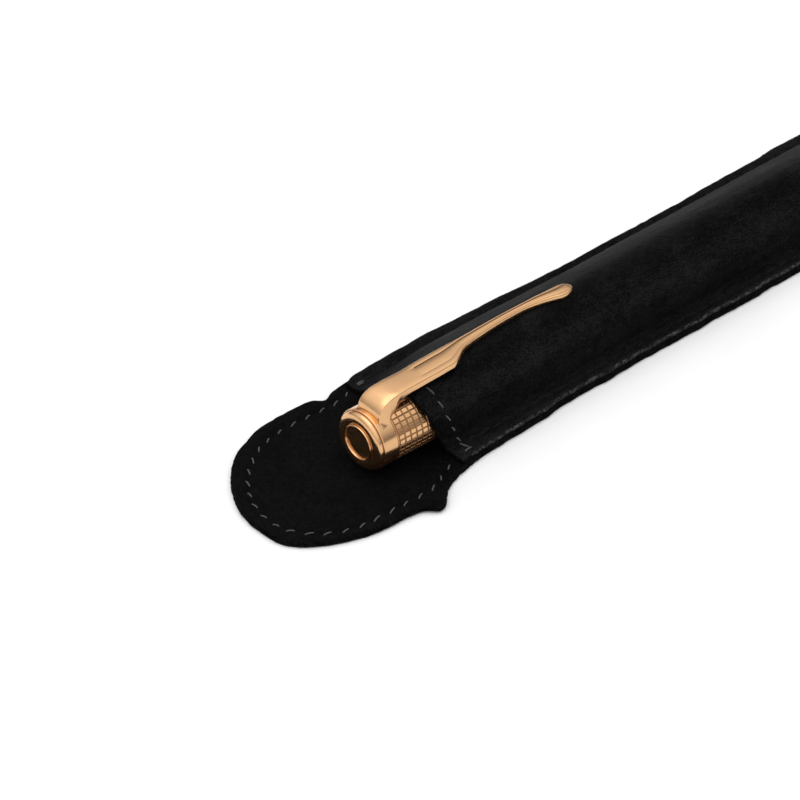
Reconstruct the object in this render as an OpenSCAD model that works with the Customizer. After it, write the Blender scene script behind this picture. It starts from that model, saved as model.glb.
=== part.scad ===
// Single pen sleeve with a rounded tongue, holding a capped pen.
// Origin: middle of the pocket mouth, on the underside of the back panel.
// +X runs into the closed end, +Y to the far seam, +Z up off the table.

/* [Sleeve] */
// Distance from the mouth to the closed end's cut edge
sleeve_len = 133; // [131:0.5:150]
// Thickness of the leather of the back panel and tongue
back_leather = 0.7; // [0.5:0.05:0.8]
// Thickness of the lining of the back panel and tongue
back_lining_t = 0.4; // [0.3:0.05:0.45]
// Thickness of the leather of the front panel
front_leather = 0.6; // [0.4:0.05:0.7]
// Thickness of the lining of the front panel
front_lining_t = 0.3; // [0.2:0.05:0.35]
// Height the two halves of a sewn edge are pressed to, front panel only
flange_t = 0.9; // [0.8:0.05:1.0]
// How far the front panel's lip leans out over the pen
lip_lean = 4.1; // [2:0.1:5]

/* [Tongue] */
// Fold line of the tongue, ahead of the pen's crown
fold_x = -17; // [-18:0.1:-16.5]
// Gap left in the plain solids at the fold
fold_gap = 0.2; // [0.1:0.05:0.4]

/* [Stitching] */
// Length from one stitch to the next
stitch_pitch = 2.85; // [2.4:0.05:3.4]
// Visible length of one stitch
stitch_len = 1.6; // [1.2:0.05:1.9]
// Width of the thread
thread_w = 0.38; // [0.3:0.02:0.5]
// How far the thread stands proud of the leather
thread_h = 0.22; // [0.15:0.01:0.3]

/* [Pen] */
// Outer radius of the cap along its straight part
cap_r = 5.3; // [5.2:0.05:5.3]
// Sideways place of the pen's axis
pen_y = -5.05; // [-5.1:0.05:-4.9]
// Height of the pen's axis above the table
pen_z = 6.5; // [6.5:0.05:6.55]
// Where the crown's rim starts, outside the mouth
crown_x = -13.9; // [-14.2:0.1:-13.7]
// Where the cap's rim ends, inside the pocket
cap_end = 48; // [48:0.5:50]
// Where the barrel ends, inside the pocket
barrel_end_x = 123; // [122:0.5:123]

/* [Clip] */
// Height of the clip's underside above the table at its tip
clip_low = 13.05; // [13.05:0.05:13.2]
// Height of the clip's top above the table
clip_top = 14.6; // [14.5:0.05:14.8]
// End of the clip, measured from the mouth
clip_end = 31.6; // [30:0.2:33]

/* [Hidden] */
$fn = 64;
e = 0.01;
back_t = back_leather + back_lining_t;
front_t = front_leather + front_lining_t;
top_z = back_t + flange_t;              // top of a sewn edge
gap = pen_z - back_t - cap_r;           // room left round the pen

leather = [0.035, 0.033, 0.036];
lining = [0.05, 0.047, 0.05];
thread = [0.22, 0.22, 0.23];
gold = [0.86, 0.60, 0.42];
dark = [0.20, 0.11, 0.08];
plastic = [0.08, 0.08, 0.09];

function sm(t) = let (u = min(1, max(0, t))) u * u * (3 - 2 * u);
function lerp(a, b, t) = a + (b - a) * t;

// ---- outlines of the flat leather -------------------------------------------------------
// The near and far cut edges: wider at the mouth, nearly straight further in
function near_y(x) = -13 - 1.5 * exp(-max(x, 0) / 20);
function far_y(x) = 12.4 + 0.95 * exp(-pow((x - 15) / 14, 2));
// The tongue, from the near corner of the mouth round to the far corner
tongue_pts = [[-1.4, -15.4], [-3.6, -16.1], [-6.2, -17.2], [-8, -18.9], [-9.2, -20.2], [-10.6, -20.4], [-11.6, -19.6], [-12.6, -18.6],
  [-14.6, -18], [-17, -17.9], [-21.5, -17.6], [-25.2, -16.5], [-28.6, -14.8], [-31.6, -12.5], [-33.5, -9.9], [-34.3, -7], [-34.4, -4],
  [-33.8, -0.8], [-32.4, 2.6], [-30.6, 5.4], [-28, 8.4], [-25.4, 10.4], [-22.6, 11.8], [-19.2, 12.9], [-16.2, 13.3], [-11.5, 13.4],
  [-7.9, 13.1], [-7, 12.6], [-6.3, 11.9], [-5.4, 11.7], [-4.2, 12.1], [-1.4, 12.6]];
end_r = 7;
near_run = [for (x = [0 : 6 : sleeve_len - end_r - 1]) [x, near_y(x)]];
far_run = [for (x = [0 : 6 : sleeve_len - end_r - 1]) [x, far_y(x)]];
function arc(cx, cy, r, a0, a1, n) = [for (i = [0 : n]) let (a = a0 + (a1 - a0) * i / n) [cx + r * cos(a), cy + r * sin(a)]];
end_near = arc(sleeve_len - end_r, near_y(sleeve_len) + end_r, end_r, -90, 0, 8);
end_far = arc(sleeve_len - end_r, far_y(sleeve_len) - end_r, end_r, 0, 90, 8);
function rev(l) = [for (i = [len(l) - 1 : -1 : 0]) l[i]];
sheet_pts = concat(near_run, end_near, end_far, rev(far_run), rev(tongue_pts));

module sheet(z0, z1) translate([0, 0, z0]) linear_extrude(z1 - z0) polygon(sheet_pts);
module root_side(z0, z1) intersection() { sheet(z0, z1); translate([fold_x, -40, z0 - 1]) cube([300, 80, z1 - z0 + 2]); }
module tip_side(z0, z1) intersection() { sheet(z0, z1); translate([fold_x - fold_gap - 60, -40, z0 - 1]) cube([60, 80, z1 - z0 + 2]); }

module back_panel() color(leather) root_side(0, back_leather);
module back_lining() color(lining) root_side(back_leather, back_t);
module tongue_panel() color(leather) tip_side(0, back_leather);
module tongue_lining() color(lining) tip_side(back_leather, back_t);

// ---- the raised front panel ---------------------------------------------------------------
seam_end = sleeve_len - 2.6;
// Radius of the pen at x, which the front panel follows
function pen_r(x) = x < 52 ? cap_r : x < 112 ? cap_r - 0.9 * (x - 52) / 60 : cap_r - 0.9;
function foot_near(x) = -11 - 0.45 * exp(-max(x, 0) / 18);
function foot_far(x) = 10.3;
pull_h = 0.08;                           // height of the tongue's thread, which the pen slides over
run0 = 113;
run1 = seam_end - 0.4;
// Height share of the raised shape: full along the pen, then rounding down to the closed end
function rise(x) = x <= run0 ? 1 : x >= run1 ? 0 : pow(1 - pow((x - run0) / (run1 - run0), 3), 1 / 3);
NA = 14;                                // steps round the pen
NS = 9;                                 // steps down the slope to the far seam
// One cross-section of the front panel at x, at inset d from its outer face, from the near edge to the far edge:
// up from the near foot, round the pen, then an arch down to a steep foot at the far seam
function bez(a, b, c, d, t) = a * pow(1 - t, 3) + 3 * b * t * pow(1 - t, 2) + 3 * c * t * t * (1 - t) + d * t * t * t;
function sect(x, d) =
  let (ro = pen_r(x) + gap + 0.1 + front_t - d, fn = foot_near(x) + d * 0.8, ff = foot_far(x) - d * 0.8,
       zf = top_z - d, cy = pen_y, cz = pen_z, a0 = 192, a1 = 62,
       ty = cy + ro * cos(a1), tz = cz + ro * sin(a1), h = rise(x), k = norm([ff - ty, tz - zf]) / 15.9,
       p0 = [ty, tz], p1 = [ty + 5 * k * sin(a1), tz - 5 * k * cos(a1)], p2 = [ff - k, zf + 2.5 * k], p3 = [ff, zf])
  concat(
    [[near_y(x) + 0.1, zf], [lerp(near_y(x) + 0.1, fn, 0.6), zf], [fn, zf]],
    [[lerp(fn, lerp(fn, cy + ro * cos(a0), 0.5), h), lerp(zf, lerp(zf, cz + ro * sin(a0), 0.5), h)]],
    [for (i = [0 : NA]) let (a = a0 + (a1 - a0) * i / NA, t = (i + 1) / (NA + 2))
       [lerp(lerp(fn, ty, t), cy + ro * cos(a), sm(h * 1.4)), lerp(zf, cz + ro * sin(a), h)]],
    [for (i = [1 : NS]) let (t = i / NS, q = bez(p0, p1, p2, p3, t)) [lerp(lerp(ty, ff, t), q[0], sm(h * 1.4)), lerp(zf, q[1], h)]],
    [[lerp(ff, far_y(x) - 0.1, 0.4), zf], [far_y(x) - 0.1, zf]]);
NJ = 3 + 1 + (NA + 1) + NS + 2;
xs = concat([0, 2, 4.5, 8, 13, 20, 30, 40, 52, 64, 76, 88, 100, 108], [for (i = [0 : 8]) lerp(run0, run1, sin(10 + 80 * i / 8))], [run1, seam_end, sleeve_len - 0.15]);
// The lip leans out over the pen in proportion to its height
function lean(x, z, y) = -0.9 * (1 - sm(x / 8)) - lip_lean * pow(max(0, z - top_z) / 10.9, 0.85) * (1 - sm(x / 13)) - 1.3 * sm((y - 6) / 5) * (1 - sm(x / 10));
// Narrow the panel towards the closed end, so that its two corners are round
function corner(x, y) = let (u = max(0, (x - sleeve_len + end_r) / end_r), c = end_r * (1 - sqrt(max(0, 1 - u * u))),
    mid = (near_y(x) + far_y(x)) / 2, half = (far_y(x) - near_y(x)) / 2) mid + (y - mid) * (1 - c / half);
function skin(i, d) = [for (p = sect(xs[i], d)) [xs[i] + lean(xs[i], p[1] + d, p[0]), corner(xs[i], p[0]), p[1]]];
// A closed sheet between two insets of the same shape
module shell(d0, d1) {
  ni = len(xs);
  pts = concat([for (i = [0 : ni - 1]) each skin(i, d0)], [for (i = [0 : ni - 1]) each skin(i, d1)]);
  o = ni * NJ;
  function id(i, j, s) = s * o + i * NJ + j;
  faces = concat(
    [for (i = [0 : ni - 2], j = [0 : NJ - 2]) each [[id(i, j, 0), id(i, j + 1, 0), id(i + 1, j + 1, 0)], [id(i, j, 0), id(i + 1, j + 1, 0), id(i + 1, j, 0)]]],
    [for (i = [0 : ni - 2], j = [0 : NJ - 2]) each [[id(i, j, 1), id(i + 1, j + 1, 1), id(i, j + 1, 1)], [id(i, j, 1), id(i + 1, j, 1), id(i + 1, j + 1, 1)]]],
    [for (j = [0 : NJ - 2]) each [[id(0, j, 0), id(0, j, 1), id(0, j + 1, 1)], [id(0, j, 0), id(0, j + 1, 1), id(0, j + 1, 0)]]],
    [for (j = [0 : NJ - 2]) each [[id(ni - 1, j, 0), id(ni - 1, j + 1, 1), id(ni - 1, j, 1)], [id(ni - 1, j, 0), id(ni - 1, j + 1, 0), id(ni - 1, j + 1, 1)]]],
    [for (i = [0 : ni - 2]) each [[id(i, 0, 0), id(i + 1, 0, 1), id(i, 0, 1)], [id(i, 0, 0), id(i + 1, 0, 0), id(i + 1, 0, 1)]]],
    [for (i = [0 : ni - 2]) each [[id(i, NJ - 1, 0), id(i, NJ - 1, 1), id(i + 1, NJ - 1, 1)], [id(i, NJ - 1, 0), id(i + 1, NJ - 1, 1), id(i + 1, NJ - 1, 0)]]]);
  polyhedron(pts, faces, convexity = 6);
}
module front_panel() color(leather) shell(0, front_leather);
module front_lining() color(lining) shell(front_leather, flange_t);

// ---- stitching ------------------------------------------------------------------------------
module dash(p, a = 0, z = 0, l = stitch_len, h = thread_h) translate([p[0], p[1], z]) rotate([0, 0, a]) translate([-l / 2, -thread_w / 2, 0]) cube([l, thread_w, h]);
module near_seam_thread() color(thread) for (x = [3.6 : stitch_pitch : seam_end - 4]) dash([x, foot_near(x) - 0.5], 2, top_z);
module far_seam_thread() color(thread) for (x = [2.2 : stitch_pitch : seam_end - 4]) dash([x, foot_far(x) + 0.45], 0, top_z);
module end_seam_thread() color(thread) for (y = [-8.9 : stitch_pitch : 9.5]) dash([seam_end, y], 88, top_z);
// Stitches along the mouth, laid on the raised front panel a little behind its lip
hem_js = [5, 7, 9, 11, 13, 15, 17, 19, 21, 23, 25];
module mouth_thread() color(thread) for (j = hem_js) {
  a = skin(1, 0)[j]; b = skin(1, 0)[j + 1]; c = skin(2, 0)[j];
  t = (b - a) / norm(b - a); u0 = c - a; n0 = cross(u0, t); n = n0 / norm(n0); u = cross(t, n);
  m = (a + b) / 2 + u * 0.5; l = min(1.6, norm(b - a)) / 2; w = thread_w / 2;
  q = [for (k = [0, 1], s = [[-1, -1], [1, -1], [1, 1], [-1, 1]]) m + t * (l * s[0]) + u * (w * s[1]) + n * (k * thread_h + 0.02)];
  polyhedron(q, [[0, 3, 2, 1], [4, 5, 6, 7], [0, 1, 5, 4], [1, 2, 6, 5], [2, 3, 7, 6], [3, 0, 4, 7]]);
}
module back_tacks() color(thread) {
  for (k = [0 : 2]) dash([1.2 + 0.2 * k, -12.2 - 0.5 * k], 12, top_z, 1.9);
  for (k = [0 : 2]) dash([-0.2 + 0.2 * k, 11.3 + 0.5 * k], -8, top_z, 1.5);
}
// Stitches on the tongue: the near ear and far ear ride with the sleeve, the rest with the tongue
root_dashes = [[-4.2, -14.6, 30], [-6.6, -15.8, 22], [-9.4, -16.5, 12], [-12.1, -16.4, -4], [-14.9, -16.2, -4], [-14.2, 10.6, 2], [-11.6, 10.7, -2], [-9, 10.5, -6]];
tip_dashes = [[-18.6, -16.2, -4], [-21.4, -15.9, -8], [-24.1, -15.2, -18], [-26.7, -14.2, -27], [-29.1, -12.7, -36], [-31, -10.8, -52], [-32.2, -8.3, -72], [-32.5, -5.6, 90], [-32.3, -2.8, 80],
  [-31.4, -0.1, 68], [-30.1, 2.5, 60], [-28.1, 5.1, 48], [-26, 7.2, 42], [-23.6, 8.8, 28], [-20.9, 9.8, 14], [-18.7, 10.3, 6]];
module tongue_root_thread() color(thread) for (d = root_dashes) dash([d[0], d[1]], d[2], back_t);
module tongue_thread() color(thread) for (d = tip_dashes) dash([d[0], d[1]], d[2], back_t, 1.5, pull_h);

// ---- the pen --------------------------------------------------------------------------------
// A turned piece on the pen's axis; points are [radius, distance along the axis]
module turned(pts) translate([0, pen_y, pen_z]) rotate([0, 90, 0]) rotate_extrude($fn = 96) polygon(pts);
c0 = crown_x;
band_end = c0 + 3.9;                    // where the plain band behind the crown ends and the tube starts
module pen_crown() color(gold) turned([[0, c0 + 0.9], [3.06, c0 + 0.9], [3.06, c0 + 0.1], [3.5, c0], [4.2, c0 + 0.06], [4.66, c0 + 0.28], [4.86, c0 + 0.55], [4.84, c0 + 0.84], [4.66, c0 + 1], [1.5, c0 + 1], [1.5, -6.6], [0, -6.6]]);
module pen_crown_ring() color(gold) turned([[2.68, c0 + 0.88], [2.68, c0 - 0.05], [2.78, c0 - 0.2], [2.94, c0 - 0.2], [3.03, c0 - 0.05], [3.03, c0 + 0.88]]);
module pen_crown_disc() color(dark) turned([[0, c0 + 0.88], [0, c0 + 0.3], [2.66, c0 + 0.3], [2.66, c0 + 0.88]]);
module pen_clip_ring() color(gold) turned([[1.55, c0 + 1.02], [5.06, c0 + 1.02], [5.17, c0 + 1.12], [5.17, band_end - 0.04], [1.55, band_end - 0.04]]);
module pen_cap_tube() color(gold) turned([[4.86, band_end], [5.15, band_end], [cap_r, 0], [cap_r, cap_end - 2], [4.86, cap_end - 2]]);
module pen_cap_rim() color(gold) turned([[4.86, cap_end - 1.98], [cap_r, cap_end - 1.98], [cap_r, cap_end - 0.3], [cap_r - 0.2, cap_end], [4.86, cap_end]]);
module pen_cap_nut() color("gray") turned([[1.53, band_end + 0.02], [4.84, band_end + 0.02], [4.84, -6.6], [1.53, -6.6]]);
module pen_inner_cap() color(plastic) turned([[0, -6.4], [4.82, -6.4], [4.82, 32], [4.5, 32], [4.5, -5.4], [0, -5.4]]);

pivot_x = c0 + 1.8;                      // the clip's springing line, at the front of its ring
clip_side = [[pivot_x, 10.7], [pivot_x + 0.1, 12.3], [pivot_x + 0.9, 13.5], [pivot_x + 2.4, clip_top - 0.3], [pivot_x + 4.6, clip_top], [2, clip_top - 0.02], [12, clip_top - 0.18],
  [20, clip_top - 0.38], [28, clip_top - 0.62], [31, clip_top - 0.85], [clip_end, clip_top - 1.1], [clip_end, clip_low + 0.18], [31, clip_low + 0.03], [29.5, clip_low], [24, clip_low + 0.2],
  [12, clip_low + 0.45], [-3, clip_low + 0.5], [-6, clip_low + 0.25], [-7.6, 12.6], [-8.8, 11.9], [-8.8, 10.7]];
// Seen from above: nearly straight on the far side, broad and then tapering on the near side, with a rounded tip
clip_plan = [[pivot_x - 1, 2], [-9, 1.95], [-6, 1.7], [0, 1.78], [5, 1.87], [12, 2], [20, 2.22], [26, 2.28], [30, 2.22], [31.2, 1.95], [31.7, 1.4],
  [31.7, 0.6], [31.2, 0], [30, -0.45], [28.5, -0.35], [25.5, 0.38], [23, 0.74], [20, 0.79], [17, 0.65], [13, 0.29], [10, -0.1], [7.6, -0.77], [6, -1.7], [4.5, -2.5],
  [0, -2.8], [-6, -2.85], [-9, -2.85], [pivot_x - 1, -2.8]];
module pen_clip() color(gold) difference() {
  intersection() {
    translate([0, pen_y + 4, 0]) rotate([90, 0, 0]) linear_extrude(8) polygon(clip_side);
    translate([0, pen_y, 0]) linear_extrude(30) polygon(clip_plan);
  }
  translate([-20, pen_y, pen_z]) rotate([0, 90, 0]) cylinder(h = 14, r = 5.2);
}

b0 = cap_end + 0.3;
module pen_barrel_tube() color(plastic) turned([[4.6, b0], [5.12, b0], [5.12, 60], [4.9, 85], [4.45, 108], [4.3, 115], [3.6, 115], [3.6, 58], [4.6, 56.5]]);
module pen_barrel_end() color(gold) turned([[0, 113.5], [3.58, 113.5], [3.58, 115.02], [4.3, 115.02], [4.25, 117], [4, 119.5], [3.5, 121.5], [2.6, barrel_end_x - 0.4], [1.4, barrel_end_x], [0, barrel_end_x]]);
module pen_grip_section() color(plastic) turned([[1.35, 12.6], [2.6, 12.6], [3.3, 13.4], [3.5, 16], [3.8, 26], [4.25, 38], [4.25, b0 - 0.02], [4.55, b0 - 0.02], [4.55, 56.4], [3.15, 56.4], [3.15, 14.1], [1.35, 14.1]]);
module pen_section_ring() color(gold) turned([[4.28, b0 - 2.4], [4.6, b0 - 2.4], [4.74, b0 - 2.2], [4.74, b0 - 0.05], [4.28, b0 - 0.05]]);
module pen_refill_tube() color("silver") turned([[0, 14.15], [3.05, 14.15], [3.05, 106.5], [2.6, 107.6], [0, 107.6]]);
module pen_refill_tip() color("gray") turned([[0, 9.6], [0.35, 9.6], [1.15, 11.4], [1.25, 12], [1.25, 14.13], [0, 14.13]]);
// The spring behind the refill
function ring(c, t, r, n) = let (k = t / norm(t), a = [1, 0, 0], u0 = a - k * (a * k), u = u0 / norm(u0), v = cross(k, u)) [for (i = [0 : n - 1]) c + u * (r * cos(360 * i / n)) + v * (r * sin(360 * i / n))];
module pen_refill_spring() color("silver") translate([0, pen_y, pen_z]) {
  turns = 4.5; n = 54; k = 6; wr = 0.24; rr = 2.3; x0 = 107.95; x1 = 113.15;
  path = [for (i = [0 : n]) [lerp(x0, x1, i / n), rr * cos(360 * turns * i / n), rr * sin(360 * turns * i / n)]];
  tan = [for (i = [0 : n]) [(x1 - x0) / n, -rr * 2 * PI * turns / n * sin(360 * turns * i / n), rr * 2 * PI * turns / n * cos(360 * turns * i / n)]];
  pts = [for (i = [0 : n]) each ring(path[i], tan[i], wr, k)];
  polyhedron(pts, concat([[for (j = [k - 1 : -1 : 0]) j]], [[for (j = [0 : k - 1]) n * k + j]],
    [for (i = [0 : n - 1], j = [0 : k - 1]) each [[i * k + j, i * k + (j + 1) % k, (i + 1) * k + (j + 1) % k], [i * k + j, (i + 1) * k + (j + 1) % k, (i + 1) * k + j]]]));
}

back_panel();
back_lining();
front_panel();
front_lining();
near_seam_thread();
far_seam_thread();
end_seam_thread();
mouth_thread();
back_tacks();
tongue_root_thread();
tongue_panel();
tongue_lining();
tongue_thread();
pen_cap_tube();
pen_cap_rim();
pen_crown();
pen_crown_ring();
pen_crown_disc();
pen_clip_ring();
pen_cap_nut();
pen_inner_cap();
pen_clip();
pen_barrel_tube();
pen_barrel_end();
pen_grip_section();
pen_section_ring();
pen_refill_tube();
pen_refill_tip();
pen_refill_spring();
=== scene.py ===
"""Single pen sleeve with a rounded tongue, and the capped pen that it holds.
Everything is built in the row frame: x into the closed end, y to the far seam, z up. The helpers work in millimetres."""
import math
import bpy, bmesh
import numpy as np
from mathutils import Matrix, Vector


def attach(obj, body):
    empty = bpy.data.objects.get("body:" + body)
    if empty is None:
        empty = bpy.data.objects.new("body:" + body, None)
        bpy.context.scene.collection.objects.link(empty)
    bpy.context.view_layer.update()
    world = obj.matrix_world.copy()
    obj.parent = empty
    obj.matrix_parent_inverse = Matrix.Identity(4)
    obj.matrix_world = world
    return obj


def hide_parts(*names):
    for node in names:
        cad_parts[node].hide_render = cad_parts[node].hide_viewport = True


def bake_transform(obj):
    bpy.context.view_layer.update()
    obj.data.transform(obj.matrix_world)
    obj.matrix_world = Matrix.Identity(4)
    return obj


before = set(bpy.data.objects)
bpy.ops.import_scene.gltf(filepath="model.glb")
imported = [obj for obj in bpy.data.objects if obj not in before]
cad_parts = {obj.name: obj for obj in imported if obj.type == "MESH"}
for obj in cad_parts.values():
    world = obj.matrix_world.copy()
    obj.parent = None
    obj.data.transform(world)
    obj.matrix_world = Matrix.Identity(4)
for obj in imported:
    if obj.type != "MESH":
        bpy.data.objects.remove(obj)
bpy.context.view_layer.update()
scene = bpy.context.scene
MM = 0.001
rng = np.random.default_rng(71)

# ------------------------------------------------------------------------------ camera
PHI, ELE, DIST, FPX = math.radians(42.0), math.radians(37.5), 1000.0, 6400.0
c_r = np.array([math.cos(PHI), -math.sin(PHI), 0.0])
c_d = np.array([math.sin(PHI) * math.cos(ELE), math.cos(PHI) * math.cos(ELE), -math.sin(ELE)])
c_u = np.cross(c_r, c_d)
c_at = -c_d * DIST - c_r * (3.0 / FPX * DIST) - c_u * (-24.0 / FPX * DIST)
cam_data = bpy.data.cameras.new("camera")
cam = bpy.data.objects.new("camera", cam_data)
scene.collection.objects.link(cam)
cam_data.sensor_width = 36.0
cam_data.lens = FPX / 800.0 * 36.0
cam_data.clip_start, cam_data.clip_end = 0.01, 20.0
cam.matrix_world = Matrix([[c_r[i], c_u[i], -c_d[i], c_at[i] * MM] for i in range(3)] + [[0, 0, 0, 1]])
scene.camera = cam


# ------------------------------------------------------------------------------ helpers
def sm(t):
    t = np.clip(t, 0.0, 1.0)
    return t * t * (3 - 2 * t)


def lerp(a, b, t):
    return a + (b - a) * t


_perm = np.random.default_rng(5).random((64, 64, 64))


def noise3(x, y, z, size):
    """Smooth value noise, -1 to 1, with features of about size."""
    p = [np.asarray(v, float) / size + 1000.0 for v in (x, y, z)]
    p = np.broadcast_arrays(*p)
    i = [np.floor(v).astype(int) for v in p]
    f = [sm(v - w) for v, w in zip(p, i)]
    out = 0.0
    for a in (0, 1):
        for b in (0, 1):
            for c in (0, 1):
                w = (f[0] if a else 1 - f[0]) * (f[1] if b else 1 - f[1]) * (f[2] if c else 1 - f[2])
                out = out + w * _perm[(i[0] + a) % 64, (i[1] + b) % 64, (i[2] + c) % 64]
    return out * 2 - 1


def make(name, verts, faces, mats, face_mats=None, smooth=True):
    me = bpy.data.meshes.new(name)
    me.from_pydata((np.asarray(verts, float) * MM).tolist(), [], faces)
    for m in mats if isinstance(mats, (list, tuple)) else [mats]:
        me.materials.append(m)
    if face_mats is not None:
        me.polygons.foreach_set("material_index", np.asarray(face_mats, np.int32))
    bm = bmesh.new()
    bm.from_mesh(me)
    bmesh.ops.recalc_face_normals(bm, faces=bm.faces)
    bm.to_mesh(me)
    bm.free()
    me.polygons.foreach_set("use_smooth", np.full(len(me.polygons), smooth))
    me.update()
    o = bpy.data.objects.new(name, me)
    scene.collection.objects.link(o)
    return o


def spline(pts, n=10):
    """Points of a Catmull-Rom curve through pts."""
    p = np.array(pts, float)
    p = np.vstack([2 * p[0] - p[1], p, 2 * p[-1] - p[-2]])
    out = []
    for k in range(1, len(p) - 2):
        for t in np.arange(n) / n:
            a, b, c, d = p[k - 1], p[k], p[k + 1], p[k + 2]
            out.append(0.5 * ((2 * b) + (c - a) * t + (2 * a - 5 * b + 4 * c - d) * t * t + (3 * b - a - 3 * c + d) * t ** 3))
    out.append(p[-2])
    return np.array(out)


# ------------------------------------------------------------------------------ materials
def new_mat(name):
    m = bpy.data.materials.new(name)
    m.use_nodes = True
    nt = m.node_tree
    return m, nt, nt.nodes["Principled BSDF"]


def node(nt, kind, **vals):
    n = nt.nodes.new(kind)
    for k, v in vals.items():
        if k in n.inputs:
            n.inputs[k].default_value = v
        else:
            setattr(n, k, v)
    return n


def coords(nt, scale=(1, 1, 1)):
    t = nt.nodes.new("ShaderNodeTexCoord")
    mp = nt.nodes.new("ShaderNodeMapping")
    mp.inputs["Scale"].default_value = scale
    nt.links.new(t.outputs["Object"], mp.inputs["Vector"])
    return mp.outputs["Vector"]


def tex(nt, vec, scale, detail=2.0, rough=0.5, distortion=0.0):
    n = nt.nodes.new("ShaderNodeTexNoise")
    n.inputs["Scale"].default_value = scale
    n.inputs["Detail"].default_value = detail
    n.inputs["Roughness"].default_value = rough
    n.inputs["Distortion"].default_value = distortion
    nt.links.new(vec, n.inputs["Vector"])
    return n.outputs["Fac"]


def ramp(nt, fac, stops):
    r = nt.nodes.new("ShaderNodeValToRGB")
    while len(r.color_ramp.elements) < len(stops):
        r.color_ramp.elements.new(0.5)
    for el, (pos, col) in zip(r.color_ramp.elements, stops):
        el.position = pos
        el.color = (*col, 1) if len(col) == 3 else col
    nt.links.new(fac, r.inputs["Fac"])
    return r.outputs["Color"]


def maprange(nt, fac, a, b, c, d):
    n = nt.nodes.new("ShaderNodeMapRange")
    for k, v in zip(("From Min", "From Max", "To Min", "To Max"), (a, b, c, d)):
        n.inputs[k].default_value = v
    nt.links.new(fac, n.inputs["Value"])
    return n.outputs["Result"]


def mathn(nt, op, a, b):
    n = nt.nodes.new("ShaderNodeMath")
    n.operation = op
    for s, v in zip(n.inputs, (a, b)):
        if isinstance(v, (int, float)):
            s.default_value = v
        else:
            nt.links.new(v, s)
    return n.outputs[0]


def bump(nt, height, strength, distance, normal=None):
    n = nt.nodes.new("ShaderNodeBump")
    n.inputs["Strength"].default_value = strength
    n.inputs["Distance"].default_value = distance
    nt.links.new(height, n.inputs["Height"])
    if normal is not None:
        nt.links.new(normal, n.inputs["Normal"])
    return n.outputs["Normal"]


def nap(name, dark, light, rough, sheen, sheen_rough, spec=0.35, stretch=(1, 1, 1), painted_light_and_shade=None):
    """Napped leather: short pile with brushed patches, fine grain and stray pale fibres."""
    m, nt, b = new_mat(name)
    v = coords(nt, stretch)
    fine = tex(nt, v, 5200, 2, 0.6)
    mid = tex(nt, v, 900, 3, 0.6, 0.4)
    big = tex(nt, v, 130, 2, 0.5, 0.6)
    mix = mathn(nt, "ADD", mathn(nt, "MULTIPLY", fine, 0.58), mathn(nt, "ADD", mathn(nt, "MULTIPLY", mid, 0.22), mathn(nt, "MULTIPLY", big, 0.20)))
    if painted_light_and_shade:  # painted light and shade: on the near side the pile is painted paler or darker with the height, for how the light falls on the near wall; the list holds (height in mm, change)
        xyz = nt.nodes.new("ShaderNodeSeparateXYZ")
        nt.links.new(coords(nt), xyz.inputs[0])
        up = mathn(nt, "ADD", xyz.outputs[2], mathn(nt, "MULTIPLY", big, 0.002))
        up = maprange(nt, up, 0.001, 0.001 + 0.0145, 0.0, 1.0)
        painted_light_strips = ramp(nt, up, [(h / 14.5, ((c + 0.09) / 0.18,) * 3) for h, c in painted_light_and_shade])
        near = maprange(nt, xyz.outputs[1], -0.0040, -0.0062, 0.0, 1.0)
        mix = mathn(nt, "ADD", mix, mathn(nt, "MULTIPLY", near, maprange(nt, painted_light_strips, 0.0, 1.0, -0.09, 0.09)))
    nt.links.new(ramp(nt, mix, [(0.40, dark), (0.50, lerp(np.array(dark), np.array(light), 0.38).tolist()), (0.60, light)]), b.inputs["Base Color"])
    nt.links.new(maprange(nt, mathn(nt, "ADD", mathn(nt, "MULTIPLY", big, 0.6), mathn(nt, "MULTIPLY", mid, 0.4)), 0.3, 0.7, rough - 0.08, rough + 0.08), b.inputs["Roughness"])
    n1 = bump(nt, mid, 0.5, 0.0003)
    n2 = bump(nt, fine, 0.5, 0.00012, n1)
    nt.links.new(n2, b.inputs["Normal"])
    b.inputs["Sheen Weight"].default_value = sheen
    b.inputs["Sheen Roughness"].default_value = sheen_rough
    b.inputs["Sheen Tint"].default_value = (0.92, 0.92, 1.0, 1)
    b.inputs["Specular IOR Level"].default_value = spec
    return m


# the last list paints light and shade on the front panel: paler and darker bands by height on its near side
M_FRONT = nap("leather_front", (0.0014, 0.0014, 0.0014), (0.0132, 0.0132, 0.0133), 0.60, 0.008, 0.3, 0.016, (0.7, 1, 1), [(0.0, 0.03), (3.0, 0.03), (4.2, -0.06), (7.8, -0.07), (9.4, 0.004), (10.6, 0.008), (12.1, -0.05), (13.2, -0.02)])
M_NAP = nap("leather_nap", (0.0005, 0.0005, 0.0006), (0.0052, 0.0052, 0.0053), 0.8, 0.008, 0.4, 0.03)
M_INNER = nap("leather_inner", (0.0012, 0.0012, 0.0012), (0.003, 0.003, 0.003), 0.95, 0.01, 0.5, 0.05)


def edge_mat(name, dark, light):
    """The cut edge of the leather: paler, fibrous, with streaks of its layers."""
    m, nt, b = new_mat(name)
    v = coords(nt)
    a = tex(nt, v, 2400, 3, 0.7)
    c = tex(nt, v, 620, 2, 0.5)
    mix = mathn(nt, "ADD", mathn(nt, "MULTIPLY", a, 0.6), mathn(nt, "MULTIPLY", c, 0.4))
    nt.links.new(ramp(nt, mix, [(0.42, dark), (0.52, lerp(np.array(dark), np.array(light), 0.3).tolist()), (0.62, light)]), b.inputs["Base Color"])
    b.inputs["Roughness"].default_value = 0.95
    nt.links.new(bump(nt, a, 0.7, 0.0003), b.inputs["Normal"])
    b.inputs["Specular IOR Level"].default_value = 0.04
    b.inputs["Sheen Weight"].default_value = 0.01
    return m


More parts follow.
